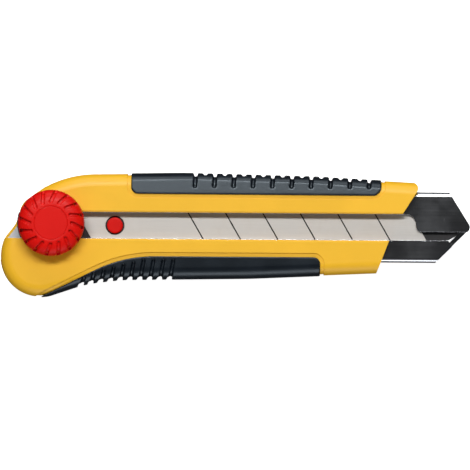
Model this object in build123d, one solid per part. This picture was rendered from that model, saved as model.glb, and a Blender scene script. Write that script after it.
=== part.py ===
"""Heavy-duty 25 mm snap-off knife: a handle of three shells with soft grips round a folded
steel channel, and a slider that carries the scored blade and is clamped by a thumb wheel.

Frame: millimetres. X runs along the blade towards the nose, Y across it (the cutting edge is at
-Y), Z up through the thumb wheel. Y = 0 is the blade's centreline, Z = 0 the face it lies on.
"""
from build123d import *
import os
from math import radians, tan

# ---------------------------------------------------------------- driving dimensions
body_thickness = 18.0      # shells, back face to front face
front_depth = 9.0          # front shells, from the joint with the back shell to the front face
edge_round = 4.5           # rounding of the handle's long edges
slot_width = 10.0          # slot between the two front shells
slot_bevel = 0.5           # bevel along the slot's two edges
shell_floor = 2.2          # back wall of the back shell
rib_pitch = 15.0
rib_thickness = 1.8
rib_wall = 2.8             # rib pockets, in from the channel's sides

# blade
blade_width = 25.0
blade_thickness = 0.7
blade_edge_length = 126.0  # along the cutting edge
first_segment = 13.66      # point to first score line, along the edge
segment_pitch = 14.06      # between two score lines
segment_count = 7
score_angle = 60.0         # score lines and both blade ends, from the X axis
score_width = 0.45
score_depth = 0.2
bevel_height = 2.6         # height of the ground cutting edge
blade_point_x = 76.2       # point of the blade with the slider at the back
blade_hole = 7.2
blade_gap = 0.15           # blade and slider, under the hems

# folded channel
channel_sheet = 0.6
channel_bend = 1.8         # outside radius of the folds
blade_side_gap = 0.15      # blade's edges, to each side of the channel
hem_width = 3.0            # strip folded back under each lip's edge
channel_fit = 0.05         # gap between the channel's sides and the shells
channel_setback = 1.0      # channel's rear end, in from the shells' rear edge
lip_recess = 0.1           # lip edges, in from the slot's edges
nose_reach = 12.0          # nose's tip, in front of the blade's point

# slider, tail stud and clamp
tongue_thickness = 1.8
tongue_reach = 4.7         # tongue, in front of the stud
stud_setback = 4.5         # stud, in front of the tail end of the cutting edge
stud_radius = 3.0
stud_flange_radius = 4.2
stud_flange = 0.9
stud_top = 1.2             # stud's top above the blade
side_gap = 0.25            # slider, to each side of the channel
neck_gap = 0.3             # slider's neck, to each side of the slot
neck_margin = 0.5          # round rear end of the neck, beyond the wheel
blade_seat_gap = 0.05      # blade's tail edge and the step behind it
runner_gap = 0.05          # slider's runners above the channel's floor
runner_width = 2.9
runner_inset = 0.1         # runners, in from the flat of the channel's floor
plate_length = 12.0
plate_width = 16.0
plate_thickness = 1.2
unlock_drop = 0.5          # travel of the clamp when the wheel is opened
floor_gap = 0.15           # fully lowered clamp plate above the channel's floor

# thumb wheel on its bolt
wheel_to_stud = 23.7
wheel_y = 0.7              # the bolt stands a little above the blade's centreline
wheel_radius = 12.4
wheel_height = 8.55
wheel_disc_radius = 7.1    # flat centre of the wheel
wheel_rim_height = 4.6     # upright part of the rim
wheel_foot = 0.6           # bevel under the rim
flute_count = 16
flute_width = 1.3
flute_depth = 1.1
flute_start = 0.85         # flutes begin this far outside the flat centre
flute_swirl = 24.0         # lean of a flute from the radial line, degrees
cap_radius = 6.2
cap_thickness = 1.3
nut_radius = 5.0
nut_height = 6.0
washer_radius = 9.0
washer_thickness = 0.8
washer_gap = 0.1           # washer above the shells' front face
wheel_gap = 0.05           # wheel above the washer
bolt_radius = 3.0
thread_gap = 0.06          # bolt in the nut
bolt_gap = 0.2             # bolt in the slider and the washer
bolt_head_radius = 4.6
clip_radius = 4.0
clip_thickness = 0.4
clip_groove = 0.5          # depth of the clip's groove in the bolt
bolt_end = 0.2             # bolt's end above its clip

# blade guide in the nose
guide_length = 17.8        # behind the blade's point
guide_gap = 0.05           # guide block under the blade
rivet_radius = 1.2
rivet_head_radius = 2.1
rivet_head = 0.7
rivet_edge = 3.6           # rivets, in from the guide's sides

# soft grips
grip_thickness = 2.0
grip_proud = 0.25          # grips stand above the shells by this
ledge_width = 1.5          # sunk line round each grip
ledge_depth = 0.45
upper_crown = 7.0          # tilt of the upper grip's faces towards its edge, degrees
groove_depth = 1.3
groove_width = 1.25
upper_notch_pitch = 3.63
upper_notch_count = 19
upper_notch_end = 4.4      # last notch, behind the upper grip's front end
upper_notch_radius = 0.85
lower_notch_pitch = 3.72
lower_notch_count = 10
lower_notch_start = 10.8   # first notch, in front of the wheel
lower_notch_radius = 1.05

# screws
screw_radius = 0.9
screw_clearance = 0.15
screw_head_radius = 1.7
screw_head = 1.6
screw_head_depth = 2.2     # screw head below the back face
screw_cover = 3.2          # front shell left in front of a screw's point
screw_cross = (2.0, 0.45)  # length and width of the cross recess
screw_wall = 0.35          # between a screw hole and the channel's pocket
bulge_pocket_radius = 4.9
bulge_boss_radius = 2.9
front_wall = 2.4
channel_screw_radius = 1.2
channel_screw_head = 2.4
channel_screw_length = 5.5

# ---------------------------------------------------------------- sizes that follow from them
split_height = body_thickness - front_depth
screw_length = body_thickness - screw_cover - screw_head_depth - screw_head
channel_width = blade_width + 2 * (blade_side_gap + channel_sheet)
channel_depth = (3 * channel_sheet + blade_gap + blade_thickness + tongue_thickness
                 + plate_thickness + unlock_drop + floor_gap)
channel_half = channel_width / 2
slider_half = channel_half - channel_sheet - side_gap
floor_half = channel_half - channel_bend   # flat part of the channel's floor
pocket_half = channel_half + channel_fit
score_lean = blade_width / tan(radians(score_angle))

channel_z = split_height - channel_sheet
floor_z = split_height
lip_top_z = channel_z + channel_depth
lip_under_z = lip_top_z - channel_sheet
blade_top_z = lip_under_z - channel_sheet - blade_gap
blade_z = blade_top_z - blade_thickness
tongue_z = blade_z - tongue_thickness
plate_z = tongue_z - plate_thickness
washer_z = body_thickness + washer_gap
wheel_z = washer_z + washer_thickness + wheel_gap
wheel_top_z = wheel_z + wheel_height
nut_top_z = wheel_z + nut_height
clip_z = nut_top_z + unlock_drop + wheel_gap
bolt_top_z = clip_z + clip_thickness + bolt_end

tail_x = blade_point_x - blade_edge_length
stud_x = tail_x + stud_setback
wheel_x = stud_x - wheel_to_stud
nose_tip_x = blade_point_x + nose_reach
guide_rear_x = blade_point_x - guide_length
front_x = blade_point_x - 23.3              # lower corner of the handle's front end
upper_grip_x = (stud_x + 6.1, front_x + 1.8)
lower_grip_x = (wheel_x - 7.0, front_x - 21.0)
upper_notch_start_x = upper_grip_x[1] - upper_notch_end - (upper_notch_count - 1) * upper_notch_pitch
lower_notch_start_x = wheel_x + lower_notch_start

guide_half = floor_half - runner_inset
rivet_y = guide_half - rivet_edge
rivet_places = [(nose_tip_x - 18.7, rivet_y), (nose_tip_x - 22.2, -rivet_y)]
screw_line = pocket_half + screw_wall + screw_clearance + screw_radius
upper_screws = [(wheel_x + 13.4, screw_line + 0.2), (front_x + 7.1, screw_line)]
lower_screws = [(wheel_x - 7.2, -screw_line - 3.6), (front_x - 7.9, -screw_line)]
channel_screw_places = [(stud_x + 15.3, 0.0), (front_x - 7.9, 0.0)]
far = 250.0                # long enough to cut right through


# ---------------------------------------------------------------- helpers
def prism(face, low, high):
    """A flat face drawn at Z = 0, made into a solid from low to high."""
    return extrude(Pos(0, 0, low) * face, high - low, dir=(0, 0, 1))


def rounded_face(corners, radii):
    """A closed polygon with its own radius at each corner, 0 for a sharp one."""
    sketch = make_face(Polyline(*corners, close=True))
    for (x, y), radius in zip(corners, radii):
        if radius:
            vertex = sketch.vertices().sort_by_distance((x, y, 0))[0]
            sketch = fillet(vertex, radius)
    return sketch


def rod(x, y, radius, low, high):
    """An upright cylinder."""
    return Pos(x, y, (low + high) / 2) * Cylinder(radius, high - low)


def block(x0, x1, y0, y1, z0, z1):
    """A box between two corners."""
    centre = ((x0 + x1) / 2, (y0 + y1) / 2, (z0 + z1) / 2)
    return Pos(*centre) * Box(x1 - x0, y1 - y0, z1 - z0)


def stroke(start, end, width):
    """A flat stripe with round ends between two points."""
    dx, dy = end[0] - start[0], end[1] - start[1]
    length = (dx * dx + dy * dy) ** 0.5
    angle = Vector(1, 0, 0).get_signed_angle(Vector(dx, dy, 0), Vector(0, 0, 1))
    middle = ((start[0] + end[0]) / 2, (start[1] + end[1]) / 2)
    return Pos(*middle) * Rot(0, 0, angle) * SlotOverall(length + width, width)


def lean_at(y):
    """How far a score line or blade end stands behind the blade's edge at height y."""
    return (y + blade_width / 2) / tan(radians(score_angle))


# ---------------------------------------------------------------- handle outline
# Round the handle from the front end's upper side. Each corner stands off the channel's side
# (or the wheel) by what the shell needs there. Both front ends run on, because front_cut trims them.
outline_corners = [
    (front_x + 37.0, channel_half + 2.35), (front_x - 23.0, channel_half + 5.5),
    (wheel_x + 51.0, channel_half + 6.5), (wheel_x + 3.0, channel_half + 5.7),
    (wheel_x - 11.3, 8.2), (wheel_x - 13.7, 0.4), (wheel_x - 18.0, -5.0), (wheel_x - 19.2, -9.5),
    (wheel_x - 19.2, -channel_half - 13.75), (wheel_x - 1.8, -channel_half - 13.75),
    (wheel_x + 13.0, -channel_half - 8.75), (wheel_x + 26.5, -channel_half - 7.1),
    (wheel_x + 74.0, -channel_half - 6.3), (front_x + 37.0, -channel_half - 2.45)]
outline_radii = [0, 300.0, 200.0, 40.0, 8.0, 8.0, 8.0, 12.0, 14.8, 13.0, 50.0, 50.0, 200.0, 0]


def handle_plan(grow=0.0):
    """The handle's outline, with every straight side moved out by grow and every arc to match."""
    corners, radii = [], []
    count = len(outline_corners)
    for index, radius in enumerate(outline_radii):
        before, here, after = (Vector(*outline_corners[(index + k) % count]) for k in (-1, 0, 1))
        come, leave = (here - before).normalized(), (after - here).normalized()
        out_come, out_leave = Vector(come.Y, -come.X), Vector(leave.Y, -leave.X)
        corner = here + (out_come + out_leave) * (grow / (1 + out_come.dot(out_leave)))
        corners.append((corner.X, corner.Y))
        if radius:
            radius += grow if come.cross(leave).Z > 0 else -grow
        radii.append(radius)
    return rounded_face(corners, radii)


outline = handle_plan()

# Front end of the handle: the slanted edge runs from below the slot to above it.
front_corners = [
    (front_x, -far), (front_x, -channel_half - 4.35), (front_x + 4.8, -slot_width / 2),
    (front_x + 9.8, slot_width / 2), (front_x + 17.3, channel_half + 3.5),
    (front_x + 3.1, channel_half + 4.1), (front_x + 3.1, far), (far, far), (far, -far)]
front_cut = rounded_face(front_corners, [0, 1.4, 0, 0, 2.2, 0, 0, 0, 0])


def envelope(grow=0.0):
    """The handle's outer form, offset by grow all over: round long edges, flat faces."""
    slab = prism(handle_plan(grow), -grow, body_thickness + grow)
    rims = slab.edges().filter_by(lambda e: e.center().X < front_x + 36.0 + min(grow, 0))
    rims = rims.filter_by(lambda e: abs(e.bounding_box().size.Z) < 1e-6)
    return fillet(rims, edge_round + grow) - prism(front_cut, -far, far)


# ---------------------------------------------------------------- grips
upper_grip_outline = rounded_face(
    [(upper_grip_x[0], far), (upper_grip_x[0], channel_half - 1.25),
     (upper_grip_x[1], channel_half - 1.45), (upper_grip_x[1], far)], [0, 2.4, 3.4, 0])
lower_grip_outline = rounded_face(
    [(lower_grip_x[0], -channel_half - 16.15), (lower_grip_x[0] + 3.5, -channel_half - 13.55),
     (lower_grip_x[0] + 33.9, -channel_half + 1.75), (lower_grip_x[1], -channel_half + 1.85),
     (lower_grip_x[1] - 0.5, -far), (lower_grip_x[0], -far)], [0, 4.0, 50.0, 2.6, 0, 0])


def edge_y(x, side):
    """Where the handle's outline stands at x, on its upper side (1) or its lower side (-1)."""
    line = make_face(Polyline(
        (x - 0.01, 0), (x + 0.01, 0), (x + 0.01, side * far), (x - 0.01, side * far), close=True))
    box = (outline & line).bounding_box()
    return box.max.Y if side > 0 else box.min.Y


def upper_grooves():
    """Every second edge notch of the upper grip runs down the face as a short groove."""
    faces = []
    for step in range(0, upper_notch_count, 2):
        x = upper_notch_start_x + step * upper_notch_pitch
        foot = (x - 0.3, channel_half + 1.7)
        faces.append(stroke(foot, (x + 0.3, channel_half + 9.7), groove_width))
    return faces


def upper_notches():
    """Scallops along the outer edge of the upper grip."""
    cuts = []
    for step in range(upper_notch_count):
        x = upper_notch_start_x + step * upper_notch_pitch
        y = edge_y(x, 1) + grip_proud + 0.05
        cuts.append(rod(x, y, upper_notch_radius, -1, body_thickness + 1))
    return cuts


def lower_grooves():
    """Finger grooves of the lower grip: each leans towards the nose as it climbs the face."""
    faces = []
    for step in range(lower_notch_count):
        x = lower_notch_start_x + step * lower_notch_pitch
        # the groove's top follows the upper edge of the grip
        rise = min(1.0, (x - wheel_x - 9.4) / 24.0)
        top = -channel_half - 7.35 + 7.4 * max(0.0, rise) ** 0.75
        faces.append(stroke((x, edge_y(x, -1) - 1.5), (x + 1.5, top), groove_width))
    return faces


def lower_notches():
    """Notches in the outer edge of the lower grip, one at the foot of each groove."""
    cuts = []
    for step in range(lower_notch_count):
        x = lower_notch_start_x + step * lower_notch_pitch - 0.1
        y = edge_y(x, -1) - grip_proud + 0.05
        cuts.append(rod(x, y, lower_notch_radius, -1, body_thickness + 1))
    return cuts


def upper_crown_cuts():
    """Wedges that tilt the upper grip's front and back faces."""
    start = channel_half - 0.9
    drop = tan(radians(upper_crown)) * far
    cuts = []
    for level, down in ((body_thickness + grip_proud, -1), (0.0, 1)):
        wedge = make_face(Polyline(
            (start, level), (start + far, level + down * drop), (start + far, level - down * far),
            (start, level - down * far), close=True))
        cuts.append(extrude(Plane.YZ * wedge, far, both=True))
    return cuts


def grip_halves(region, grooves, cuts):
    """One grip over the handle's edge, cut in two at the shells' joint."""
    above_ground = block(-far, far, -far, far, 0, far)
    whole = prism(region, -far, far) & envelope(grip_proud) & above_ground
    whole -= envelope(-grip_thickness)
    floor = envelope(grip_proud - groove_depth)
    for face in grooves:
        whole -= prism(face, -far, far) - floor
    for cut in cuts:
        whole -= cut
    front = whole & block(-far, far, -far, far, split_height, far)
    back = whole & block(-far, far, -far, far, -far, split_height)
    return front, back


# ---------------------------------------------------------------- shells
def ledge(region):
    """The shallow sunk line that runs round a grip."""
    wide = offset(region, ledge_width, kind=Kind.ARC)
    return prism(wide, -far, far) - envelope(-ledge_depth)


def grip_seat(region):
    """What a grip takes out of the shells: its outline, down to its underside."""
    return prism(region, -far, far) - envelope(-grip_thickness)


def channel_pocket():
    return block(-far, far, -pocket_half, pocket_half, channel_z, lip_top_z)


def shell_screw_holes(places, low, high, radius):
    return [rod(x, y, radius, low, high) for x, y in places]


def shells():
    """Back shell and the two front shells, one each side of the slot."""
    body = envelope()
    for region in (upper_grip_outline, lower_grip_outline):
        body = body - ledge(region) - grip_seat(region)
    body -= channel_pocket()
    x, y = lower_screws[0]
    ring = rod(x, y, bulge_pocket_radius, shell_floor, body_thickness - front_wall)
    body -= ring - rod(x, y, bulge_boss_radius, 0, body_thickness)

    half_slot = slot_width / 2
    front = body & block(-far, far, -far, far, split_height, far)
    slot = block(-far, far, -half_slot, half_slot, split_height - 1, far)
    top = body_thickness
    bevel_face = make_face(Polyline(
        (half_slot, top - slot_bevel), (half_slot + slot_bevel + 0.1, top + 0.1),
        (-half_slot - slot_bevel - 0.1, top + 0.1), (-half_slot, top - slot_bevel), close=True))
    front = front - slot - extrude(Plane.YZ * bevel_face, far, both=True)
    thread_top = screw_head_depth + screw_head + screw_length
    for hole in shell_screw_holes(upper_screws + lower_screws, 0, thread_top, screw_radius):
        front -= hole
    upper = front & block(-far, far, 0, far, -far, far)
    lower = front & block(-far, far, -far, 0, -far, far)

    back = body & block(-far, far, -far, far, -far, split_height)
    seat_z = screw_head_depth + screw_head
    for x, y in upper_screws + lower_screws:
        back -= rod(x, y, screw_radius + screw_clearance, -1, far)
        back -= rod(x, y, screw_head_radius + screw_clearance, -1, seat_z)
    pocket = channel_half - rib_wall
    count = int((guide_rear_x - wheel_x - rib_pitch) // rib_pitch)
    for step in range(count):
        x0 = wheel_x + step * rib_pitch + rib_thickness
        x1 = x0 + rib_pitch - rib_thickness
        boss = channel_screw_radius + rib_thickness
        if all(not x0 - boss < sx < x1 + boss for sx, _ in channel_screw_places):
            back -= block(x0, x1, -pocket, pocket, shell_floor, channel_z + 1)
    for x, y in channel_screw_places:
        back -= rod(x, y, channel_screw_radius, floor_z - channel_screw_length, floor_z)
    return back, upper, lower


# ---------------------------------------------------------------- channel and nose
nose_edge = channel_half + 1.75     # the nose's outline is drawn wider than the channel
nose_corners = [
    (-far, -nose_edge), (nose_tip_x - 14.8, -nose_edge), (nose_tip_x - 0.4, -0.9),
    (nose_tip_x, 0.6), (nose_tip_x - 9.0, nose_edge), (-far, nose_edge)]
nose_outline = rounded_face(nose_corners, [0, 0, 0.8, 1.5, 0, 0])
lip_edge = slot_width / 2 - lip_recess
lip_step = 1.33 * lip_edge   # the upper lip comes down by this over the nose
lip_corners = [(-far, lip_edge), (nose_tip_x - 20.6, lip_edge),
               (nose_tip_x - 20.3, lip_edge - lip_step), (far, lip_edge - lip_step),
               (far, -lip_edge), (-far, -lip_edge)]
lip_opening = rounded_face(lip_corners, [0, 0.55 * lip_step, 0.36 * lip_step, 0, 0, 0])
# the lower lip's corner is cut back from the nose's point
lip_end = make_face(Polyline((nose_tip_x - 8.6, -4.0), (nose_tip_x - 7.0, -7.0), (far, -7.0),
                             (far, -4.0), close=True))
# window through the floor, in front of the guide block
nose_window = make_face(Polyline((nose_tip_x - 5.2, -3.2), (nose_tip_x - 10.0, -8.0),
                                 (nose_tip_x - 11.6, -6.8), close=True))


def blade_channel():
    """Folded sheet: back plate, two round folds, two lips. The nose is cut to a point."""
    outer = Plane.YZ * Pos(0, channel_z + channel_depth / 2) * RectangleRounded(
        channel_width, channel_depth, channel_bend)
    inner = Plane.YZ * Pos(0, channel_z + channel_depth / 2) * RectangleRounded(
        channel_width - 2 * channel_sheet, channel_depth - 2 * channel_sheet,
        channel_bend - channel_sheet)
    tube = extrude(outer, far, both=True) - extrude(inner, far, both=True)
    tube = tube & prism(nose_outline, -far, far)
    rear = prism(handle_plan(-channel_setback), -far, far)
    rear_trim = block(-far, 0, -nose_edge, nose_edge, 0, far) - rear
    tube = tube - rear_trim
    hem = prism(offset(lip_opening, hem_width, kind=Kind.ARC), 0, far) & prism(nose_outline, 0, far)
    inside = floor_half + channel_sheet
    hem = hem & block(-far, far, -inside, inside, lip_under_z - channel_sheet, lip_under_z)
    tube += hem - rear_trim
    tube -= prism(lip_opening, lip_under_z - channel_sheet - 0.1, far)
    tube -= prism(lip_end, lip_under_z - channel_sheet - 0.1, far)
    tube -= prism(nose_window, 0, floor_z + 1)
    for x, y in channel_screw_places:
        tube -= rod(x, y, channel_screw_radius, 0, far)
        tube -= Pos(x, y, floor_z - channel_sheet / 2) * Cone(
            channel_screw_radius, channel_screw_head, channel_sheet)
    for x, y in rivet_places:
        tube -= rod(x, y, rivet_radius, 0, floor_z + 0.5)
    return tube


def blade_guide():
    """Block under the blade in the nose: it holds the blade up against the lips."""
    corners = [(guide_rear_x, -guide_half), (nose_tip_x - 17.6, -guide_half),
               (nose_tip_x - 11.6, -6.6), (nose_tip_x - 5.1, -3.1), (nose_tip_x - 3.6, 0.4),
               (nose_tip_x - 10.8, guide_half), (guide_rear_x, guide_half)]
    guide = prism(make_face(Polyline(*corners, close=True)), floor_z, blade_z - guide_gap)
    for x, y in rivet_places:
        guide -= rod(x, y, rivet_radius, 0, far)
        guide -= rod(x, y, rivet_head_radius, blade_z - guide_gap - rivet_head - 0.1, far)
    return guide


def guide_rivets():
    """Rivets through the channel's back plate; their tails are closed on its outside."""
    rivets = []
    top = blade_z - guide_gap - 0.1
    for x, y in rivet_places:
        rivet = rod(x, y, rivet_radius, channel_z, top)
        rivet += rod(x, y, rivet_head_radius, top - rivet_head, top)
        tail = rod(x, y, rivet_head_radius, channel_z - rivet_head, channel_z)
        rivet += fillet(tail.faces().sort_by(Axis.Z)[0].edges(), 0.5)
        rivets.append(rivet)
    return Compound(rivets)


def channel_screws():
    """Countersunk screws that hold the channel down on the back shell."""
    screws = []
    for x, y in channel_screw_places:
        screw = rod(x, y, channel_screw_radius, floor_z - channel_screw_length, floor_z)
        screw += Pos(x, y, floor_z - channel_sheet / 2) * Cone(
            channel_screw_radius, channel_screw_head, channel_sheet)
        screw -= block(x - 1.2, x + 1.2, y - 0.2, y + 0.2, floor_z - 0.4, floor_z + 1)
        screws.append(screw)
    return Compound(screws)


# ---------------------------------------------------------------- blade
def blade():
    """Segmented blade: ground edge, slanted ends, a score line on both faces per segment."""
    low, high = -blade_width / 2, blade_width / 2
    middle = blade_z + blade_thickness / 2
    section = make_face(Polyline(
        (low, middle), (low + bevel_height, blade_top_z), (high, blade_top_z), (high, blade_z),
        (low + bevel_height, blade_z), close=True))
    strip = extrude(Plane.YZ * section, far, both=True)
    plan = make_face(Polyline(
        (blade_point_x, low), (blade_point_x - score_lean, high), (tail_x - score_lean, high),
        (tail_x, low), close=True))
    steel = strip & prism(plan, 0, far)
    steel -= rod(stud_x, 0, blade_hole / 2, 0, far)
    for step in range(1, segment_count):
        x = blade_point_x - first_segment - (step - 1) * segment_pitch - score_lean / 2
        line = Pos(x, 0) * Rot(0, 0, -score_angle) * Rectangle(blade_width * 1.4, score_width)
        steel -= prism(line, blade_top_z - score_depth, far)
        steel -= prism(line, 0, blade_z + score_depth)
    return steel


# ---------------------------------------------------------------- slider
def slider():
    """Carrier in the channel: a step behind the blade, a tongue under it, a neck in the slot."""
    neck_half = slot_width / 2 - neck_gap
    tongue_x = stud_x + tongue_reach
    base_rear_x = wheel_x - wheel_radius + 1.3
    chamfer = slider_half - neck_half
    plan = [(tongue_x, -slider_half), (tongue_x, slider_half), (base_rear_x + chamfer, slider_half),
            (base_rear_x, neck_half), (base_rear_x, -neck_half),
            (base_rear_x + chamfer, -slider_half)]
    base = prism(rounded_face(plan, [2.0, 2.0, 0, 0, 0, 0]), tongue_z, blade_top_z)
    seat_x = tail_x - blade_seat_gap
    seat = make_face(Polyline(
        (seat_x - lean_at(-channel_half), -channel_half), (far, -channel_half), (far, channel_half),
        (seat_x - lean_at(channel_half), channel_half), close=True))
    neck = rod(wheel_x, wheel_y, wheel_radius + neck_margin, blade_top_z - 0.5, washer_z)
    neck_front_x = wheel_x + wheel_radius - 1.3
    base += neck & block(-far, neck_front_x, -neck_half, neck_half, 0, far)
    base -= prism(seat, blade_z, blade_top_z + blade_gap)
    for side in (-1, 1):
        inner, outer = sorted((side * (guide_half - runner_width), side * guide_half))
        base += block(base_rear_x + chamfer, tongue_x - 2, inner, outer,
                      floor_z + runner_gap, tongue_z + 0.1)
    base -= rod(wheel_x, wheel_y, bolt_radius + bolt_gap, 0, far)
    base -= rod(stud_x, 0, stud_radius, 0, far)
    return base


def blade_stud():
    """Stud through the tongue and the blade's hole."""
    top = blade_top_z + stud_top
    stud = rod(stud_x, 0, stud_radius, tongue_z, top)
    stud = fillet(stud.faces().sort_by(Axis.Z)[-1].edges(), 0.5)
    return stud + rod(stud_x, 0, stud_flange_radius, tongue_z - stud_flange, tongue_z)


# ---------------------------------------------------------------- clamp
def clamp_plate():
    plate = block(wheel_x - plate_length / 2, wheel_x + plate_length / 2,
                  -plate_width / 2, plate_width / 2, plate_z, tongue_z)
    plate = fillet(plate.edges().filter_by(Axis.Z), 1.5)
    plate -= rod(wheel_x, wheel_y, bolt_radius, 0, far)
    return plate - Pos(wheel_x, wheel_y, (plate_z + tongue_z) / 2) * Cone(
        bolt_head_radius, bolt_radius, plate_thickness)


def clamp_bolt():
    """Bolt set in the clamp plate, its countersunk head flush underneath."""
    bolt = rod(wheel_x, wheel_y, bolt_radius, plate_z, bolt_top_z)
    bolt += Pos(wheel_x, wheel_y, (plate_z + tongue_z) / 2) * Cone(
        bolt_head_radius, bolt_radius, plate_thickness)
    groove = rod(wheel_x, wheel_y, 2 * bolt_radius, clip_z, clip_z + clip_thickness)
    return bolt - (groove - rod(wheel_x, wheel_y, bolt_radius - clip_groove, 0, far))


def bolt_clip():
    """Open ring in the bolt's groove: it stops the wheel from being screwed off."""
    ring = rod(wheel_x, wheel_y, clip_radius, clip_z, clip_z + clip_thickness)
    ring -= rod(wheel_x, wheel_y, bolt_radius - clip_groove, 0, far)
    mouth = (bolt_radius - clip_groove) * 0.56
    return ring - block(wheel_x, far, wheel_y - mouth, wheel_y + mouth, 0, far)


def thrust_washer():
    ring = rod(wheel_x, wheel_y, washer_radius, washer_z, washer_z + washer_thickness)
    return ring - rod(wheel_x, wheel_y, bolt_radius + bolt_gap, 0, far)


# ---------------------------------------------------------------- wheel
def wheel_form():
    """The wheel without its flutes, standing on the origin's axis: rim, domed bevel, flat centre."""
    rim_z = wheel_z + wheel_rim_height
    shoulder = (wheel_top_z - rim_z) * 0.63
    profile = make_face(
        Polyline((0, wheel_top_z), (0, wheel_z), (wheel_radius - wheel_foot, wheel_z),
                 (wheel_radius, wheel_z + wheel_foot), (wheel_radius, rim_z))
        + ThreePointArc((wheel_radius, rim_z), (wheel_radius - 1.7, rim_z + shoulder),
                        (wheel_disc_radius, wheel_top_z))
        + Line((wheel_disc_radius, wheel_top_z), (0, wheel_top_z)))
    return revolve(Plane.XZ * profile, Axis.Z)


def flute_strokes():
    """Plan of the flutes: straight strokes that start outside the flat centre and lean."""
    inner_r = wheel_disc_radius + flute_start
    span = wheel_radius + flute_width - inner_r
    start = Vector(inner_r, 0, 0)
    end = Vector(wheel_radius + flute_width, -span * tan(radians(flute_swirl)), 0)
    for step in range(flute_count):
        angle = step * 360 / flute_count
        inner, outer = start.rotate(Axis.Z, angle), end.rotate(Axis.Z, angle)
        yield stroke((inner.X, inner.Y), (outer.X, outer.Y), flute_width)


def lock_wheel():
    """Thumb wheel: the flutes follow the dome at one depth and run out at the rim."""
    form = wheel_form()
    sunk = Pos(0, 0, -flute_depth) * form
    wheel = form
    for face in flute_strokes():
        wheel -= prism(face, wheel_z + wheel_foot, far) - sunk
    wheel -= rod(0, 0, nut_radius, 0, nut_top_z)
    wheel -= rod(0, 0, clip_radius + 0.4, 0, wheel_top_z - cap_thickness)
    wheel -= rod(0, 0, cap_radius, wheel_top_z - cap_thickness, far)
    return Pos(wheel_x, wheel_y, 0) * wheel


def wheel_nut():
    nut = rod(wheel_x, wheel_y, nut_radius, wheel_z, nut_top_z)
    return nut - rod(wheel_x, wheel_y, bolt_radius + thread_gap, 0, far)


def wheel_cap():
    cap = rod(wheel_x, wheel_y, cap_radius, wheel_top_z - cap_thickness, wheel_top_z)
    return fillet(cap.faces().sort_by(Axis.Z)[-1].edges(), 0.15)


# ---------------------------------------------------------------- screws
def shell_screws():
    """Cross-head screws from the back, one in each corner of the handle."""
    screws = []
    head_z = screw_head_depth
    for x, y in upper_screws + lower_screws:
        screw = rod(x, y, screw_head_radius, head_z, head_z + screw_head)
        screw = fillet(screw.faces().sort_by(Axis.Z)[0].edges(), 0.4)
        screw += rod(x, y, screw_radius, head_z, head_z + screw_head + screw_length)
        for size_x, size_y in (screw_cross, screw_cross[::-1]):
            screw -= Pos(x, y, head_z) * Box(size_x, size_y, screw_head)
        screws.append(screw)
    return Compound(screws)


# ---------------------------------------------------------------- the assembly
back_shell, upper_shell, lower_shell = shells()
upper_front, upper_back = grip_halves(
    upper_grip_outline, upper_grooves(), upper_notches() + upper_crown_cuts())
lower_front, lower_back = grip_halves(lower_grip_outline, lower_grooves(), lower_notches())
parts = {
    "back_shell": back_shell,
    "upper_front_shell": upper_shell,
    "lower_front_shell": lower_shell,
    "upper_grip_front": upper_front,
    "upper_grip_back": upper_back,
    "lower_grip_front": lower_front,
    "lower_grip_back": lower_back,
    "blade_channel": blade_channel(),
    "blade_guide": blade_guide(),
    "guide_rivets": guide_rivets(),
    "channel_screws": channel_screws(),
    "shell_screws": shell_screws(),
    "slider": slider(),
    "blade": blade(),
    "blade_stud": blade_stud(),
    "thrust_washer": thrust_washer(),
    "lock_wheel": lock_wheel(),
    "wheel_nut": wheel_nut(),
    "wheel_cap": wheel_cap(),
    "clamp_plate": clamp_plate(),
    "clamp_bolt": clamp_bolt(),
    "bolt_clip": bolt_clip(),
}
os.makedirs("parts", exist_ok=True)
for name, shape in parts.items():
    export_step(shape, f"parts/{name}.step")
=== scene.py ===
"""Finish and stage for the 25 mm snap-off knife with a wheel lock."""
from math import cos, pi, radians, sin

import bpy
from bpy.props import FloatProperty, FloatVectorProperty, IntProperty, PointerProperty
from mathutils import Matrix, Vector


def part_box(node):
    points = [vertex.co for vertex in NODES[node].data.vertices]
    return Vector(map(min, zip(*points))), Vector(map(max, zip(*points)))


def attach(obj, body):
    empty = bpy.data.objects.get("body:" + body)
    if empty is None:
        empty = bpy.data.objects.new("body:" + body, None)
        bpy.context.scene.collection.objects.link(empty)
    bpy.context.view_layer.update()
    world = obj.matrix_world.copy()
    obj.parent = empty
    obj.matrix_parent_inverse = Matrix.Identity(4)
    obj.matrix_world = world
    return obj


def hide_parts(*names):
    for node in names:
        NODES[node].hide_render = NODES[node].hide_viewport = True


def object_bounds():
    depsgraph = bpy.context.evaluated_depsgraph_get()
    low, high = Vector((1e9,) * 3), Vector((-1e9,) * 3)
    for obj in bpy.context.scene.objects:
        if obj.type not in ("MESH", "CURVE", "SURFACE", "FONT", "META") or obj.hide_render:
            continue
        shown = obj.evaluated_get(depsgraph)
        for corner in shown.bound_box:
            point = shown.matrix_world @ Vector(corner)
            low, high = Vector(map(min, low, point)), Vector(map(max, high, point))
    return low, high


bl_info = {
    "name": "Snap-off knife finish",
    "version": (1, 0, 0),
    "blender": (4, 5, 0),
    "location": "View3D > Sidebar > Knife",
    "description": "Finishes the pieces of a snap-off knife and lights them on a plain floor",
    "category": "Object",
}

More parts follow.
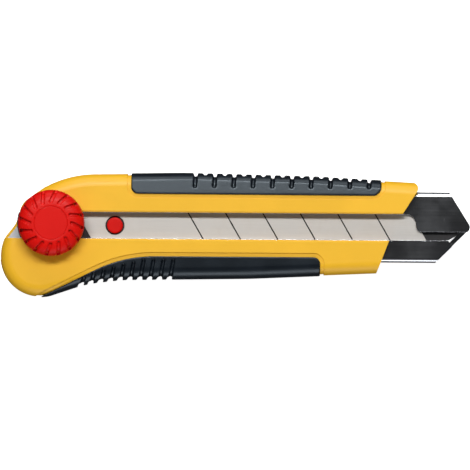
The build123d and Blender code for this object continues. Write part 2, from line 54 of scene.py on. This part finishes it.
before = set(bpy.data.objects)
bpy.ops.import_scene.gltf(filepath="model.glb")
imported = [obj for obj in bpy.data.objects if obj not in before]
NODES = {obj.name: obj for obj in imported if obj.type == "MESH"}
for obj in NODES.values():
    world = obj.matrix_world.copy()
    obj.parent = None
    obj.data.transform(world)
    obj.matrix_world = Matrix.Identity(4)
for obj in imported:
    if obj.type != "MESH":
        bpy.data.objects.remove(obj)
cad_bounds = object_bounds()
MM = 0.001
BLADE_BEVEL = 2.6 * MM     # height of the blade's ground edge
WHEEL_FOOT = 0.6 * MM      # bevel under the wheel's rim
FLUTE_START = 0.85 * MM    # from the wheel's flat centre to its flutes
FLUTE_CUT = 12 * MM        # height of a flute's cutter
CLIP_ROOM = 0.4 * MM       # wheel's bore round the bolt's clip
TOUCH = 0.001 * MM         # closer than this counts as the same place
FLOOR_GAP = 0.2 * MM       # floor under the knife, so that the two faces don't flicker
VIEW_CENTRE = (-0.15 * MM, -3.3 * MM)    # what the camera looks straight down on


# ---------------------------------------------------------------- shader maths
class Value:
    """One output socket, usable in arithmetic."""

    def __init__(self, paint, socket):
        self.paint = paint
        self.socket = socket

    def math(self, operation, first, second):
        return self.paint.node("ShaderNodeMath", {"operation": operation}, {0: first, 1: second})

    def __add__(self, other):
        return self.math("ADD", self, other)

    __radd__ = __add__

    def __sub__(self, other):
        return self.math("SUBTRACT", self, other)

    def __rsub__(self, other):
        return self.math("SUBTRACT", other, self)

    def __mul__(self, other):
        return self.math("MULTIPLY", self, other)

    def step(self, low, high):
        """0 below low, 1 above high, smooth between them."""
        sockets = {"Value": self, "From Min": low, "From Max": high}
        return self.paint.node("ShaderNodeMapRange", {"interpolation_type": "SMOOTHSTEP"}, sockets)


class Paint:
    """A material under construction, on one Principled shader."""

    def __init__(self, name, **constants):
        self.material = bpy.data.materials.new(name)
        self.material.use_nodes = True
        self.tree = self.material.node_tree
        self.shader = self.tree.nodes["Principled BSDF"]
        for socket, value in constants.items():
            self.shader.inputs[socket.replace("_", " ")].default_value = value
        self.place = self.node("ShaderNodeTexCoord", {}, {}, "Object")

    def along(self, axis):
        """The place along one axis, X, Y or Z, in metres."""
        return self.node("ShaderNodeSeparateXYZ", {}, {"Vector": self.place}, axis)

    def node(self, kind, settings, sockets, output=0):
        made = self.tree.nodes.new(kind)
        for key, value in settings.items():
            setattr(made, key, value)
        for key, value in sockets.items():
            if isinstance(value, Value):
                self.tree.links.new(value.socket, made.inputs[key])
            else:
                made.inputs[key].default_value = value
        return Value(self, made.outputs[output])

    def stretched(self, x, y, z):
        """Object coordinates, scaled differently along each axis."""
        return self.node("ShaderNodeMapping", {}, {"Vector": self.place, "Scale": (x, y, z)})

    def noise(self, scale, detail=3.0, roughness=0.5, where=None):
        sockets = {"Vector": where or self.place, "Scale": scale, "Detail": detail,
                   "Roughness": roughness}
        return self.node("ShaderNodeTexNoise", {}, sockets, "Fac")

    def cells(self, scale):
        sockets = {"Vector": self.place, "Scale": scale}
        return self.node("ShaderNodeTexVoronoi", {}, sockets, "Distance")

    def blend(self, share, low, high):
        """Between two colours, by share. The mix node takes them at 6 and 7, and gives 2."""
        colours = {6: low, 7: high}
        for socket, colour in colours.items():
            if not isinstance(colour, Value):
                colours[socket] = (*colour, 1.0)
        return self.node("ShaderNodeMix", {"data_type": "RGBA"}, {"Factor": share, **colours}, 2)

    def bump(self, height, depth_mm, strength, edge_mm):
        """Fine relief on top of edges that are broken by a small radius."""
        soft_edge = self.node("ShaderNodeBevel", {"samples": 6}, {"Radius": edge_mm * MM})
        sockets = {"Height": height, "Distance": depth_mm * MM, "Strength": strength,
                   "Normal": soft_edge}
        return self.node("ShaderNodeBump", {}, sockets, "Normal")

    def edge_wear_and_highlight(self, reach_mm):
        """Mask for worn edges and painted edge highlights: 1 along convex edges, 0 elsewhere, from
        how far the rounded normal leaves the true one.
        """
        round_normal = self.node("ShaderNodeBevel", {"samples": 4}, {"Radius": reach_mm * MM})
        true_normal = self.node("ShaderNodeNewGeometry", {}, {}, "Normal")
        sockets = {0: round_normal, 1: true_normal}
        dot = self.node("ShaderNodeVectorMath", {"operation": "DOT_PRODUCT"}, sockets, "Value")
        return (1.0 - dot).step(0.03, 0.3)

    def feed(self, **values):
        for socket, value in values.items():
            self.tree.links.new(value.socket, self.shader.inputs[socket.replace("_", " ")])
        return self.material


# ---------------------------------------------------------------- materials
def shade(colour, factor):
    return tuple(channel * factor for channel in colour)


def moulded_plastic(name, colour, gloss, shine=0.5):
    """Injection-moulded plastic: spark-eroded skin, faint flow marks, rubbed streaks, and worn edges
    lightened by a painted highlight.
    """
    paint = Paint(name, IOR=1.48, Specular_IOR_Level=shine)
    flow = paint.noise(38.0, 4.0, 0.6).step(0.3, 0.75)
    skin = paint.noise(5200.0, 2.0)
    rubs = paint.noise(1.0, 5.0, 0.65, paint.stretched(60.0, 1500.0, 1500.0)).step(0.64, 0.76)
    patches = paint.noise(90.0, 2.0).step(0.48, 0.64)
    worn = rubs * patches
    edges = paint.edge_wear_and_highlight(0.45)
    tone = paint.blend(flow, shade(colour, 0.95), shade(colour, 1.03))
    tone = paint.blend(worn * 0.12, tone, (0.85, 0.8, 0.72))
    # painted highlight: convex edges lighter in the plastic's own hue, on top of edge wear
    tone = paint.blend(edges * 0.18, tone, shade(colour, 1.15))
    rough = gloss + flow * 0.05 + worn * 0.14 + skin * 0.06 + edges * 0.12
    normal = paint.bump(skin + worn * -0.8, 0.01, 0.5, 0.2)
    return paint.feed(Base_Color=tone, Roughness=rough, Normal=normal)


def soft_rubber(name, colour):
    """Thermoplastic rubber: fine pebbled skin, slightly greyed where hands rub it, and edges much
    lighter from wear and a painted highlight.
    """
    paint = Paint(name, IOR=1.5, Specular_Tint=(0.78, 0.9, 1.0, 1.0))
    pebble = paint.cells(2600.0)
    haze = paint.noise(70.0, 5.0, 0.6).step(0.35, 0.8)
    specks = paint.noise(2200.0, 2.0).step(0.68, 0.74)
    edges = paint.edge_wear_and_highlight(0.5)
    tone = paint.blend(haze, shade(colour, 0.8), shade(colour, 1.3))
    tone = paint.blend(specks * 0.08, tone, (0.2, 0.2, 0.2))
    # painted highlight: convex edges up to about twice as light, on top of edge wear
    tone = paint.blend(edges * 0.5, tone, shade(colour, 2.2))
    rough = 0.27 + haze * 0.08 + pebble * 0.06
    return paint.feed(Base_Color=tone, Roughness=rough, Normal=paint.bump(pebble, 0.025, 0.45, 0.2))


def rolled_steel(name, colour, gloss, matt_end):
    """Sheet steel: rolling lines along it, light scratches, a few stains, matt at its rear end."""
    paint = Paint(name, Metallic=1.0)
    lines = paint.noise(1.0, 6.0, 0.7, paint.stretched(40.0, 2600.0, 2600.0))
    scuffs = paint.noise(1.0, 3.0, 0.6, paint.stretched(700.0, 90.0, 700.0)).step(0.66, 0.7)
    stains = paint.noise(45.0, 4.0, 0.6).step(0.4, 0.7)
    edges = paint.edge_wear_and_highlight(0.3)
    tone = paint.blend(lines, shade(colour, 0.9), shade(colour, 1.1))
    tone = paint.blend(stains * 0.25, tone, shade(colour, 0.8))
    # painted highlight: convex edges brightened towards pale grey, on top of edge wear
    tone = paint.blend(edges * 0.35, tone, (0.75, 0.75, 0.77))
    matt = 1.0 - paint.along("X").step(matt_end, matt_end + 8 * MM)
    rough = gloss + lines * 0.1 + stains * 0.07 + scuffs * 0.08 + matt * 0.3
    normal = paint.bump(lines + scuffs * 0.5, 0.005, 0.45, 0.12)
    return paint.feed(Base_Color=tone, Roughness=rough, Normal=normal)


def ground_blade(name, colour, bevel_top, top):
    """Blade steel: fine lines along the flat, coarser ones across the bevel, painted shade in the
    scores.
    """
    paint = Paint(name, Metallic=1.0)
    bevel = 1.0 - paint.along("Y").step(bevel_top - 0.1 * MM, bevel_top + 0.1 * MM)
    height = paint.along("Z")
    sunk = height.step(top - 0.3 * MM, top - 0.25 * MM)
    sunk *= 1.0 - height.step(top - 0.12 * MM, top - 0.02 * MM)
    score = sunk * (1.0 - bevel)
    along = paint.noise(1.0, 5.0, 0.7, paint.stretched(50.0, 3600.0, 3600.0))
    across = paint.noise(1.0, 4.0, 0.7, paint.stretched(5200.0, 160.0, 5200.0))
    lines = along + bevel * (across - along)
    stains = paint.noise(60.0, 5.0, 0.62).step(0.42, 0.72)
    specks = paint.noise(900.0, 3.0, 0.6).step(0.7, 0.76)
    edges = paint.edge_wear_and_highlight(0.2)
    tone = paint.blend(lines, shade(colour, 0.86), shade(colour, 1.1))
    tone = paint.blend(stains * 0.22, tone, (colour[0] * 0.8, colour[1] * 0.74, colour[2] * 0.66))
    tone = paint.blend(specks * 0.3, tone, shade(colour, 0.55))
    # painted highlight: convex edges brightened towards pale grey, on top of edge wear
    tone = paint.blend(edges * 0.3, tone, (0.7, 0.7, 0.7))
    # painted shade: the sunk score lines are drawn near black
    tone = paint.blend(score, tone, (0.012, 0.01, 0.01))
    rough = 0.4 + lines * 0.16 + stains * 0.08 + bevel * -0.08
    normal = paint.bump(lines, 0.004, 0.5, 0.08)
    return paint.feed(Base_Color=tone, Roughness=rough, Normal=normal)


def plated_steel(name, colour, gloss):
    """Small turned or stamped steel: bright plating with a fine uneven skin."""
    paint = Paint(name, Metallic=1.0)
    skin = paint.noise(1800.0, 4.0, 0.6)
    clouds = paint.noise(260.0, 3.0).step(0.35, 0.7)
    tone = paint.blend(clouds, shade(colour, 0.88), shade(colour, 1.08))
    rough = gloss + skin * 0.14 + clouds * 0.06
    return paint.feed(Base_Color=tone, Roughness=rough, Normal=paint.bump(skin, 0.01, 0.4, 0.1))


def floor_paint(name, colour):
    """Matt white board, lit a little from within as a light table is."""
    paint = Paint(name, Roughness=0.9, Specular_IOR_Level=0.1, Emission_Strength=0.82)
    paint.shader.inputs["Emission Color"].default_value = (1, 1, 1, 1)
    cloud = paint.noise(3.0, 3.0)
    tone = paint.blend(cloud, shade(colour, 0.985), colour)
    return paint.feed(Base_Color=tone, Roughness=0.85 + cloud * 0.1)


# ---------------------------------------------------------------- settings
class KnifeColours(bpy.types.PropertyGroup):
    shell: FloatVectorProperty(
        name="Shell", description="Colour of the moulded handle shells", subtype="COLOR",
        size=3, min=0, max=1, default=(0.87, 0.48, 0.014))
    grip: FloatVectorProperty(
        name="Grip", description="Colour of the soft grips", subtype="COLOR",
        size=3, min=0, max=1, default=(0.004, 0.0065, 0.0105))
    wheel: FloatVectorProperty(
        name="Wheel", description="Colour of the lock wheel and the stud", subtype="COLOR",
        size=3, min=0, max=1, default=(0.66, 0.0035, 0.0012))
    carrier: FloatVectorProperty(
        name="Carrier", description="Colour of the slider and the blade guide", subtype="COLOR",
        size=3, min=0, max=1, default=(0.012, 0.012, 0.014))
    channel: FloatVectorProperty(
        name="Channel", description="Colour of the folded steel channel", subtype="COLOR",
        size=3, min=0, max=1, default=(0.56, 0.58, 0.62))
    blade: FloatVectorProperty(
        name="Blade", description="Colour of the blade's steel", subtype="COLOR",
        size=3, min=0, max=1, default=(0.58, 0.563, 0.543))


class WheelSizes(bpy.types.PropertyGroup):
    flutes: IntProperty(
        name="Flutes", description="Number of flutes round the wheel", default=16, min=4, max=40)
    flute_width: FloatProperty(
        name="Flute width", description="Width of one flute", unit="LENGTH",
        default=1.3 * MM, min=0.2 * MM, max=3 * MM)
    flute_depth: FloatProperty(
        name="Flute depth", description="How far a flute is sunk into the dome", unit="LENGTH",
        default=1.1 * MM, min=0.1 * MM, max=2 * MM)
    swirl: FloatProperty(
        name="Swirl", description="Lean of a flute from the radial line", subtype="ANGLE",
        default=radians(24.0), min=0.0, max=1.2)
    rim_height: FloatProperty(
        name="Rim height", description="Upright part of the rim", unit="LENGTH",
        default=4.6 * MM, min=1 * MM, max=8 * MM)
    disc_radius: FloatProperty(
        name="Centre radius", description="Radius of the flat centre", unit="LENGTH",
        default=7.1 * MM, min=3 * MM, max=11 * MM)


class StageSettings(bpy.types.PropertyGroup):
    view_width: FloatProperty(
        name="View width", description="Width of the picture at the blade", unit="LENGTH",
        default=0.1767, min=0.05, max=1.0)
    lens: FloatProperty(
        name="Lens", description="Focal length of the camera, in millimetres",
        default=400.0, min=20.0, max=800.0)
    roll: FloatProperty(
        name="Roll", description="Turn of the camera about its own axis", subtype="ANGLE",
        default=0.0075, min=-0.5, max=0.5)
    key_power: FloatProperty(
        name="Key light", description="Power of the main light", unit="POWER",
        default=7.3, min=0.0, max=200.0)
    fill_power: FloatProperty(
        name="Fill light", description="Power of the light from the other side", unit="POWER",
        default=4.1, min=0.0, max=200.0)
    soft_power: FloatProperty(
        name="Soft box", description="Power of the large light beside the key light", unit="POWER",
        default=4.4, min=0.0, max=200.0)
    sky: FloatProperty(
        name="Sky", description="Strength of the soft light from all round",
        default=0.19, min=0.0, max=5.0)
    floor_colour: FloatVectorProperty(
        name="Floor", description="Colour of the floor", subtype="COLOR",
        size=3, min=0, max=1, default=(0.93, 0.93, 0.93))


# ---------------------------------------------------------------- helpers for pieces
def paint_node(node, material):
    """Gives a CAD node one material all over."""
    slots = NODES[node].data.materials
    slots.clear()
    slots.append(material)


def pick(piece):
    """Makes one object the selected and active one."""
    bpy.ops.object.select_all(action="DESELECT")
    piece.select_set(True)
    bpy.context.view_layer.objects.active = piece


def apply_modifier(piece, kind, **settings):
    pick(piece)
    made = piece.modifiers.new(kind.lower(), kind)
    for key, value in settings.items():
        setattr(made, key, value)
    bpy.ops.object.modifier_apply(modifier=made.name)


def tidy_mesh(piece):
    """Merges doubles and turns all faces outwards."""
    pick(piece)
    bpy.ops.object.mode_set(mode="EDIT")
    bpy.ops.mesh.select_all(action="SELECT")
    bpy.ops.mesh.remove_doubles(threshold=0.002 * MM)
    bpy.ops.mesh.normals_make_consistent(inside=False)
    bpy.ops.object.mode_set(mode="OBJECT")


def finish_piece(piece, name, material, slot, body, *nodes):
    """Names a new piece, bakes its place into its mesh, and puts it in a CAD node's stead."""
    pick(piece)
    bpy.ops.object.transform_apply(location=True, rotation=True, scale=True)
    piece.name = name
    piece.data.materials.clear()
    piece.data.materials.append(material)
    for face in piece.data.polygons:
        face.use_smooth = True
    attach(piece, body)
    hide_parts(*nodes)


def copy_of(node):
    piece = bpy.data.objects.new(node + "_copy", NODES[node].data.copy())
    bpy.context.scene.collection.objects.link(piece)
    tidy_mesh(piece)
    return piece


def soften(piece, grain_mm, passes):
    """Rounds every edge a little, as a mould or a soft material does."""
    apply_modifier(piece, "REMESH", mode="VOXEL", voxel_size=grain_mm * MM)
    apply_modifier(piece, "SMOOTH", factor=0.5, iterations=passes)


def open_with(piece, kind, wanted):
    """Opens edit mode with only the elements, FACE or VERT, selected for which wanted holds."""
    pick(piece)
    bpy.ops.object.mode_set(mode="EDIT")
    bpy.ops.mesh.select_mode(type=kind)
    bpy.ops.mesh.select_all(action="DESELECT")
    bpy.ops.object.mode_set(mode="OBJECT")
    for element in piece.data.polygons if kind == "FACE" else piece.data.vertices:
        element.select = wanted(element)
    bpy.ops.object.mode_set(mode="EDIT")


def carve(piece, cutter):
    """Takes the cutter's shape out of a piece and removes the cutter."""
    apply_modifier(piece, "BOOLEAN", operation="DIFFERENCE", solver="EXACT", object=cutter)
    bpy.data.objects.remove(cutter)


# ---------------------------------------------------------------- operators
class KNIFE_OT_shells(bpy.types.Operator):
    """Finish the three handle shells"""
    bl_idname = "knife.shells"
    bl_label = "Shells"

    def execute(self, context):
        colour = context.scene.knife_colours.shell
        plastic = moulded_plastic("shell_plastic", colour, 0.4)
        for node in ("back_shell", "upper_front_shell", "lower_front_shell"):
            paint_node(node, plastic)
        return {"FINISHED"}


class KNIFE_OT_grips(bpy.types.Operator):
    """Model the soft grips: the moulded halves with rounded lugs and grooves"""
    bl_idname = "knife.grips"
    bl_label = "Grips"

    def execute(self, context):
        rubber = soft_rubber("grip_rubber", context.scene.knife_colours.grip)
        for node in ("upper_grip_front", "upper_grip_back", "lower_grip_front", "lower_grip_back"):
            grip = copy_of(node)
            soften(grip, 0.24, 7)
            finish_piece(grip, "soft_" + node, rubber, "soft_grip", "handle", node)
        return {"FINISHED"}


class KNIFE_OT_steel(bpy.types.Operator):
    """Finish the channel, the blade and the steel fittings"""
    bl_idname = "knife.steel"
    bl_label = "Steel"

    def execute(self, context):
        colours = context.scene.knife_colours
        matt_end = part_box("lock_wheel")[0].x
        paint_node("blade_channel", rolled_steel("channel_steel", colours.channel, 0.08, matt_end))
        low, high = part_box("blade")
        paint_node("blade", ground_blade("blade_steel", colours.blade, low.y + BLADE_BEVEL, high.z))
        zinc = plated_steel("zinc_plate", (0.55, 0.55, 0.56), 0.28)
        for node in ("guide_rivets", "channel_screws", "shell_screws", "thrust_washer",
                     "clamp_plate", "clamp_bolt"):
            paint_node(node, zinc)
        paint_node("bolt_clip", plated_steel("spring_steel", (0.12, 0.12, 0.13), 0.35))
        paint_node("wheel_nut", plated_steel("nut_brass", (0.72, 0.5, 0.2), 0.24))
        return {"FINISHED"}


class KNIFE_OT_carriage(bpy.types.Operator):
    """Finish the slider and the blade guide, and model the stud"""
    bl_idname = "knife.carriage"
    bl_label = "Carriage"

    def execute(self, context):
        colours = context.scene.knife_colours
        black = moulded_plastic("carrier_plastic", colours.carrier, 0.4)
        for node in ("slider", "blade_guide"):
            paint_node(node, black)
        red = moulded_plastic("stud_plastic", colours.wheel, 0.36, 0.2)
        stud = copy_of("blade_stud")
        soften(stud, 0.09, 4)
        finish_piece(stud, "stud", red, "red_plastic", "carriage", "blade_stud")
        return {"FINISHED"}


class KNIFE_OT_wheel(bpy.types.Operator):
    """Model the thumb wheel: a domed cylinder with swirled flutes and a hollow for the nut"""
    bl_idname = "knife.wheel"
    bl_label = "Wheel"

    def execute(self, context):
        sizes = context.scene.knife_wheel
        low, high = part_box("lock_wheel")
        centre = (low + high) / 2
        radius = (high.x - low.x) / 2
        wheel = self.blank(sizes, centre, radius, low.z, high.z)
        self.hollow(wheel, centre, low.z, high.z)
        depth = sizes.flute_depth
        for step in range(sizes.flutes):
            stroke = self.stroke(sizes, centre, radius, high.z, step * 2 * pi / sizes.flutes)
            carve(stroke, self.blank(sizes, centre, radius - depth, low.z, high.z - depth))
            carve(wheel, stroke)
        soften(wheel, 0.16, 2)
        red = moulded_plastic("wheel_plastic", context.scene.knife_colours.wheel, 0.36, 0.2)
        finish_piece(wheel, "thumb_wheel", red, "red_plastic", "wheel", "lock_wheel")
        paint_node("wheel_cap", red)
        return {"FINISHED"}

    def blank(self, sizes, centre, radius, low_z, high_z):
        """A cylinder drawn up ring by ring into the rim, the dome and the flat centre."""
        foot = WHEEL_FOOT
        place = (centre.x, centre.y, low_z + foot / 2)
        bpy.ops.object.select_all(action="DESELECT")
        bpy.ops.mesh.primitive_cylinder_add(
            vertices=160, radius=radius - foot, depth=foot, location=place)
        wheel = bpy.context.object
        bpy.ops.object.transform_apply(location=True)
        rim_z = low_z + sizes.rim_height
        dome = high_z - rim_z
        inward = radius - sizes.disc_radius
        rings = [(low_z + foot, radius), (rim_z, radius)]
        rings += [(rim_z + dome * (1 - (1 - t) ** 1.75), radius - inward * t ** 1.9)
                  for t in (0.14, 0.28, 0.42, 0.56, 0.7, 0.84, 1.0)]
        level, width = low_z + foot, radius - foot
        for z, ring_radius in rings:
            top = level - TOUCH
            open_with(wheel, "FACE", lambda face: face.center.z > top and face.normal.z > 0.99)
            if z - level > TOUCH:
                rise = {"value": (0, 0, z - level)}
                bpy.ops.mesh.extrude_region_move(TRANSFORM_OT_translate=rise)
            factor = ring_radius / width
            bpy.ops.transform.resize(
                value=(factor, factor, 1), center_override=(centre.x, centre.y, 0))
            bpy.ops.object.mode_set(mode="OBJECT")
            level, width = z, ring_radius
        return wheel

    def hollow(self, wheel, centre, low_z, high_z):
        """Room for the nut, the clip and the cap."""
        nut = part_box("wheel_nut")
        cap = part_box("wheel_cap")
        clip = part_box("bolt_clip")
        bores = [((nut[1].x - nut[0].x) / 2, low_z - MM, nut[1].z),
                 ((clip[1].y - clip[0].y) / 2 + CLIP_ROOM, low_z - MM, cap[0].z),
                 ((cap[1].x - cap[0].x) / 2, cap[0].z, high_z + MM)]
        for bore_radius, bottom, top in bores:
            bpy.ops.object.select_all(action="DESELECT")
            bpy.ops.mesh.primitive_cylinder_add(
                vertices=96, radius=bore_radius, depth=top - bottom,
                location=(centre.x, centre.y, (top + bottom) / 2))
            carve(wheel, bpy.context.object)

    def stroke(self, sizes, centre, radius, high_z, turn):
        """An upright bar with round ends, from the flat centre out over the rim."""
        start = sizes.disc_radius + FLUTE_START
        reach = radius + MM - start
        bpy.ops.object.select_all(action="DESELECT")
        bpy.ops.mesh.primitive_cylinder_add(
            vertices=32, radius=sizes.flute_width / 2, depth=FLUTE_CUT)
        bar = bpy.context.object
        open_with(bar, "VERT", lambda vertex: vertex.co.x > TOUCH)
        bpy.ops.transform.translate(value=(reach, 0, 0))
        bpy.ops.object.mode_set(mode="OBJECT")
        bar.rotation_euler = (0, 0, turn - sizes.swirl)
        bar.location = (centre.x + start * cos(turn), centre.y + start * sin(turn), high_z)
        bpy.ops.object.transform_apply(location=True, rotation=True)
        return bar


class KNIFE_OT_stage(bpy.types.Operator):
    """Set the floor, the lights and the camera"""
    bl_idname = "knife.stage"
    bl_label = "Stage"

    def execute(self, context):
        scene = context.scene
        stage = scene.knife_stage
        scene.view_settings.view_transform = "Standard"
        low = cad_bounds[0]
        bpy.ops.mesh.primitive_plane_add(size=6.0, location=(0, 0, low[2] - FLOOR_GAP))
        floor = context.object
        floor.name = "floor"
        floor.data.materials.append(floor_paint("floor_paint", stage.floor_colour))
        floor.visible_diffuse = False
        floor.visible_glossy = False

        blade_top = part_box("blade")[1].z
        camera_data = bpy.data.cameras.new("camera")
        camera_data.lens = stage.lens
        camera_data.clip_start = 0.05
        camera = bpy.data.objects.new("camera", camera_data)
        scene.collection.objects.link(camera)
        distance = stage.view_width * stage.lens / camera_data.sensor_width
        camera.location = (*VIEW_CENTRE, blade_top + distance)
        camera.rotation_euler = (0, 0, stage.roll)
        scene.camera = camera

        self.add_light("key", (-0.05, 0.42, 0.85), (0.7, 0.13), stage.key_power, (1.0, 0.99, 0.97))
        self.add_light("soft_box", (0.0, 1.1, 0.45), (0.9, 0.6), stage.soft_power, (1.0, 1.0, 1.0))
        self.add_light("fill", (0.1, -1.0, 0.42), (0.9, 0.5), stage.fill_power, (0.99, 0.99, 1.0))
        self.add_sky(scene)
        return {"FINISHED"}

    def add_light(self, name, place, size, power, colour):
        data = bpy.data.lights.new(name, "AREA")
        data.shape = "RECTANGLE"
        data.size, data.size_y = size
        data.energy = power
        data.color = colour
        light = bpy.data.objects.new(name, data)
        light.location = place
        light.rotation_euler = (Vector(place) * -1).to_track_quat("-Z", "Y").to_euler()
        bpy.context.scene.collection.objects.link(light)

    def add_sky(self, scene):
        """A soft white room, darker overhead, so that flat steel reads darker than its folds."""
        world = bpy.data.worlds.new("room")
        scene.world = world
        world.use_nodes = True
        tree = world.node_tree
        background = tree.nodes["Background"]
        coords = tree.nodes.new("ShaderNodeTexCoord")
        split = tree.nodes.new("ShaderNodeSeparateXYZ")
        tree.links.new(coords.outputs["Generated"], split.inputs[0])
        ramp = tree.nodes.new("ShaderNodeValToRGB")
        stops = [(0.0, 0.35), (0.04, 1.0), (0.86, 0.9), (0.96, 0.14)]
        while len(ramp.color_ramp.elements) < len(stops):
            ramp.color_ramp.elements.new(0.5)
        for element, (position, grey) in zip(ramp.color_ramp.elements, stops):
            element.position = position
            element.color = (grey, grey, grey, 1)
        tree.links.new(split.outputs["Z"], ramp.inputs[0])
        tree.links.new(ramp.outputs[0], background.inputs["Color"])
        background.inputs["Strength"].default_value = scene.knife_stage.sky


class KNIFE_PT_panel(bpy.types.Panel):
    """The knife's steps, in order"""
    bl_idname = "KNIFE_PT_panel"
    bl_label = "Snap-off knife"
    bl_space_type = "VIEW_3D"
    bl_region_type = "UI"
    bl_category = "Knife"

    def draw(self, context):
        scene = context.scene
        for settings in (scene.knife_colours, scene.knife_wheel, scene.knife_stage):
            box = self.layout.box()
            for prop in settings.bl_rna.properties:
                if not prop.is_readonly and prop.identifier != "name":
                    box.prop(settings, prop.identifier)
        for operator in OPERATORS:
            self.layout.operator(operator.bl_idname)


SETTINGS = (KnifeColours, WheelSizes, StageSettings)
OPERATORS = (KNIFE_OT_shells, KNIFE_OT_grips, KNIFE_OT_steel, KNIFE_OT_carriage, KNIFE_OT_wheel,
             KNIFE_OT_stage)


def register():
    for cls in SETTINGS + OPERATORS + (KNIFE_PT_panel,):
        bpy.utils.register_class(cls)
    bpy.types.Scene.knife_colours = PointerProperty(type=KnifeColours)
    bpy.types.Scene.knife_wheel = PointerProperty(type=WheelSizes)
    bpy.types.Scene.knife_stage = PointerProperty(type=StageSettings)


def unregister():
    del bpy.types.Scene.knife_stage
    del bpy.types.Scene.knife_wheel
    del bpy.types.Scene.knife_colours
    for cls in reversed(SETTINGS + OPERATORS + (KNIFE_PT_panel,)):
        bpy.utils.unregister_class(cls)


def main():
    register()
    for operator in OPERATORS:
        group, name = operator.bl_idname.split(".")
        getattr(getattr(bpy.ops, group), name)()


if __name__ == "__main__":
    main()
